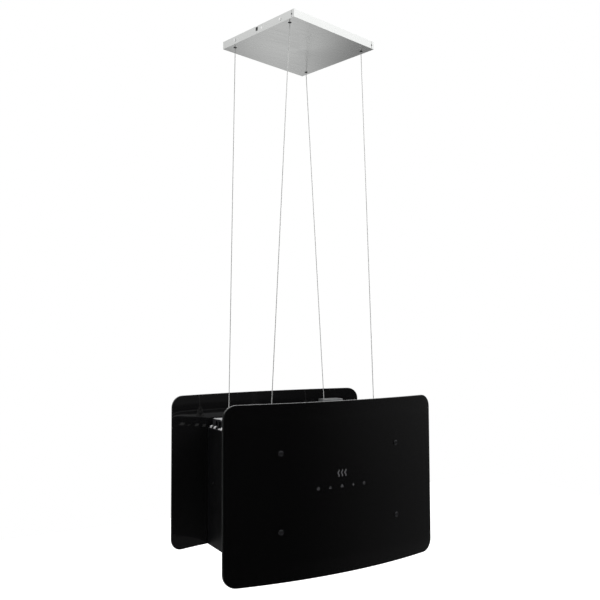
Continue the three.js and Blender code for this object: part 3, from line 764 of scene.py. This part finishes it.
def add_rope_grip(corner):
    """Grip on the deck with a grooved barrel, and the release plunger in its top."""
    node = f"rope_gripper_{corner}"
    place = above(node, HOOD_Z)
    profile = [(0, 306), (3.9, 306), (3.9, 322.3), (8.6, 322.3), (8.6, 324.2), (7.6, 324.6), (6, 325.4)]
    for groove in range(6):
        low = 330 + 2 * groove
        profile += [(6, low), (5.7, low + 0.3), (5.7, low + 0.9), (6, low + 1.2)]
    profile += [(6, 344.2), (5.4, 345), (3.8, 345), (3.8, 327), (0, 327)]
    add_turned(f"rope_grip_{corner}", node, mm(*profile), place, NICKEL, "hood", 0.15 * MM)
    profile = mm((1.5, 331), (3.4, 331), (3.4, 348.8), (4.6, 349.2), (4.6, 351), (4.1, 351.7),
                 (3.2, 352), (1.5, 352))
    add_turned(f"release_plunger_{corner}", f"grip_plunger_{corner}", profile, place, NICKEL,
               f"plunger_{corner}", 0.15 * MM)


def add_deck_screw(corner):
    """Screw on the deck's ledge."""
    node = f"deck_screw_{corner}"
    add_turned(f"{node}_head", node, pan_head(4, 2.2, 1.6, 6), above(node, LEDGE_Z), BRIGHT_ZINC,
               "hood")


def add_side_screw(side_name, hand):
    """Screw through a side wall into the mounting plate."""
    node = f"side_screw_{side_name}"
    at = centre(node)
    at.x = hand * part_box("right_side_wall")[1].x
    add_turned(f"{node}_head", node, pan_head(3.8, 2, 1.7, 8), pointing(at, (hand, 0, 0)),
               DARK_NICKEL, "hood")


def add_lamp(side_name):
    """Recessed lamp: a flanged ring with a closed can, and a domed window."""
    housing, lens = f"lamp_housing_{side_name}", f"lamp_lens_{side_name}"
    place = above(housing, HOOD_Z)
    ring = mm((24, 1), (30, 1), (30, 2.5), (26.5, 2.5), (26.5, 20), (0, 20), (0, 18), (24, 18))
    add_turned(f"lamp_ring_{side_name}", housing, ring, place, ALUMINIUM, "hood", 0, 64)
    window = mm((0, 1.5), (19, 1.6), (22.4, 2), (23.3, 2.6), (23.3, 4), (0, 4))
    add_turned(f"lamp_window_{side_name}", lens, window, place, LENS, "hood", 0, 64)


for side_name, hand in SIDES:
    add_cover_screw(side_name, hand, "front", -1)
    add_cover_screw(side_name, hand, "rear", 1)
for corner_name in CORNERS:
    add_rope_bush(corner_name)
    add_rope_grip(corner_name)
    add_deck_screw(corner_name)
for side_name, hand in SIDES:
    add_side_screw(side_name, hand)
    add_lamp(side_name)


def add_gland():
    """Cable gland on the terminal box's front: hexagon, ribbed cap nut and an open throat."""
    at = centre("supply_gland")
    at.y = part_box("terminal_box")[0].y
    place = pointing(at, (0, -1, 0))
    bm = bmesh.new()
    lathe(bm, mm((3.5, 0.3), (10.9, 0.3), (10.9, 4.4), (10.2, 5), (3.5, 5)), 6, place)
    lathe(bm, mm((3.5, -8), (7, -8), (7, 0.2), (3.5, 0.2)), 32, place)
    cap = [(3.5, 5.1), (8.6, 5.1)]
    for rib in range(4):
        cap += [(8.6, 5.8 + 2 * rib), (8.0, 6.2 + 2 * rib), (8.0, 7.0 + 2 * rib), (8.4, 7.4 + 2 * rib)]
    cap += [(7.4, 15.4), (5.6, 16.9), (3.5, 16.9)]
    lathe(bm, mm(*cap), 32, place)
    gland = finish_mesh("cable_gland", bm, GREY_PLASTIC, "hood")
    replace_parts(gland, "supply_gland")


add_gland()


# ------------------------------------------------------------------ grease filter

def bar(bm, start, end, across, thick):
    """A flat bar between two points, lying level across its length."""
    up = Vector((0, 0, 1))
    along = (end - start).normalized()
    side = along.cross(up).normalized() * (across / 2)
    lift = up * (thick / 2)
    corners = [a * side + b * lift for a, b in ((-1, -1), (1, -1), (1, 1), (-1, 1))]
    prism(bm, [start + corner for corner in corners], [end + corner for corner in corners])


def add_grease_mesh():
    """Expanded aluminium sheets in the filter's windows: crossing strands, clipped to the window."""
    half_run = MESH_LEAN * (MESH_REAR - MESH_FRONT) / 2
    first_x = -0.30  # far enough out for the leaning strands to reach the window's corners
    strands = math.ceil(-2 * first_x / MESH_PITCH)
    shortest = 0.01  # part of a full strand below which a corner's stub is left out
    for place, z in MESH_LAYERS:
        bm = bmesh.new()
        for lean in (-1, 1):
            level = z + lean * 0.2 * MM
            for i in range(strands):
                x = first_x + i * MESH_PITCH
                a = Vector((x - lean * half_run, MESH_FRONT, level))
                b = Vector((x + lean * half_run, MESH_REAR, level))
                cuts = sorted((edge - a.x) / (b.x - a.x) for edge in (-MESH_HALF_X, MESH_HALF_X))
                start, end = max(0.0, cuts[0]), min(1.0, cuts[1])
                if end - start > shortest:
                    bar(bm, a.lerp(b, start), a.lerp(b, end), 0.9 * MM, 0.45 * MM)
        finish_mesh(f"grease_mesh_{place}", bm, ALUMINIUM, "grease_filter")


add_grease_mesh()
dress("grease_filter", ALUMINIUM, 0.4 * MM)


# ------------------------------------------------------------------ clips on the ledge, seams, prints

def add_ledge_clip(name, at, hand):
    """Folded spring clip over a tongue of the deck, with a lip turned outwards."""
    outline = [(-1.6, 0), (-1.6, 5.4), (-0.9, 6.3), (1.0, 6.3), (4.9, 1.0), (4.9, 0), (4.0, 0), (4.0, 0.7),
               (0.8, 5.5), (-0.6, 5.5), (-1.0, 5.0), (-1.0, 0)]
    half_width = 5.5
    bm = bmesh.new()
    prism(bm, *([at + Vector((hand * x, y, z)) * MM for x, z in outline] for y in (-half_width, half_width)))
    finish_mesh(name, bm, BRIGHT_ZINC, "hood")


for corner_name in CORNERS:
    side = 1 if "right" in corner_name else -1
    end = 1 if "rear" in corner_name else -1
    for index, clip_y in enumerate(CLIP_YS):
        place = Vector((side * CLIP_X, end * clip_y, LEDGE_Z + 0.1 * MM))
        add_ledge_clip(f"ledge_clip_{corner_name}_{index}", place, side)


def add_cover_seams():
    """The ceiling tray's corner tabs: a dark sheet of painted shade in the seam beside each corner, and the
    rivet that holds it.
    """
    x, y = -COVER_HALF, -COVER_HALF + SEAM_Y
    near, far = y - SEAM_WIDTH / 2, y + SEAM_WIDTH / 2
    bottom, rivet_z, top = COVER_LOW + 1.2 * MM, COVER_LOW * 0.55, -1.0 * MM
    outline = ((near, bottom), (far, bottom), (far, top), (near, top))
    head = mm((0, -0.5), (2.1, -0.5), (2.1, 0.1), (1.6, 0.5), (0.7, 0.6), (0, 0.6))
    seam_shades, rivets = bmesh.new(), bmesh.new()
    for turn in range(4):
        matrix = Matrix.Rotation(COVER_TURN + turn * math.pi / 2, 4, "Z")
        prism(seam_shades, *([matrix @ Vector((x + depth, a, z)) for a, z in outline] for depth in (0, SEAM_DEPTH)))
        lathe(rivets, rounded(head, 0.1 * MM), 20, matrix @ pointing((x, y, rivet_z), (-1, 0, 0)))
    finish_mesh("cover_seam_shades", seam_shades, SEAM_SHADE, "hood")
    finish_mesh("cover_rivets", rivets, DARK_NICKEL, "hood")


def add_clip_rivet():
    """Bright rivet beside the lead's notch: it holds the lead's clip inside the tray."""
    bm = bmesh.new()
    head = mm((0, -1), (2.6, -1), (2.6, 0.2), (2.2, 0.7), (1.2, 0.9), (0, 0.95))
    seat = on_cover(-COVER_HALF, -18 * MM, -10 * MM)
    lathe(bm, rounded(head, 0.1 * MM), 24, pointing(seat, on_cover(-1, 0, 0)))
    finish_mesh("lead_clip_rivet", bm, BRIGHT_ZINC, "hood")


def printed(bm, outline):
    """A thin print on the front glass: an outline in (x, z) millimetres on its outer face."""
    prism(bm, *([bowed_point(x * MM, HOOD_Z + z * MM, radius, hand=-1) for x, z in outline]
                for radius in (BOW_R, BOW_R - HAIR / 2)))


def stroke(bm, points, width):
    """A printed line through (x, z) points, as one band."""
    left, right = [], []
    for i, (x, z) in enumerate(points):
        x0, z0 = points[max(0, i - 1)]
        x1, z1 = points[min(len(points) - 1, i + 1)]
        length = math.hypot(x1 - x0, z1 - z0)
        nx, nz = -(z1 - z0) / length * width / 2, (x1 - x0) / length * width / 2
        left.append((x + nx, z + nz))
        right.append((x - nx, z - nz))
    for a, b, c, d in zip(left, left[1:], right[1:], right):
        printed(bm, [a, b, c, d])


def arc(x, z, radius, start, end, count=18):
    """Points round (x, z), the angles in degrees clockwise from straight up."""
    turns = [math.radians(start + (end - start) * i / count) for i in range(count + 1)]
    return [(x + radius * math.sin(a), z + radius * math.cos(a)) for a in turns]


def add_prints():
    """Five touch keys, and three steam lines as a plain sign above them."""
    z, width = KEY_ROW_Z, 1.0
    power, slower, fan, faster, lamp = (KEY_ROW_X + i * KEY_PITCH for i in range(-2, 3))
    bm = bmesh.new()
    stroke(bm, arc(power, z, 2.6, 35, 325), width)
    stroke(bm, [(power, z + 0.8), (power, z + 3.7)], width)
    triangle = [(slower - 3, z - 2.2), (slower, z + 2.8), (slower + 3, z - 2.2), (slower - 3, z - 2.2)]
    stroke(bm, triangle, width)
    for hub_x, hub_z in arc(fan, z, 1.8, 0, 240, 2):
        stroke(bm, arc(hub_x, hub_z, 1.5, 0, 360, 14), 0.9)
    stroke(bm, [(faster, z - 3.2), (faster, z + 3.2)], width)
    stroke(bm, [(faster - 2.7, z), (faster + 2.7, z)], width)
    stroke(bm, arc(lamp, z + 0.8, 2.3, -140, 140), width)
    stroke(bm, [(lamp - 1.3, z - 2.5), (lamp + 1.3, z - 2.5)], width)
    finish_mesh("touch_key_prints", bm, PRINT, "hood")

    bm = bmesh.new()
    for line in (-9, 0, 9):
        wave = [(KEY_ROW_X + line + 1.8 * math.sin(i * 0.6), z + 22 + i) for i in range(16)]
        stroke(bm, wave, 1.8)
    finish_mesh("steam_sign_print", bm, SIGN, "hood")


add_cover_seams()
add_clip_rivet()
add_prints()
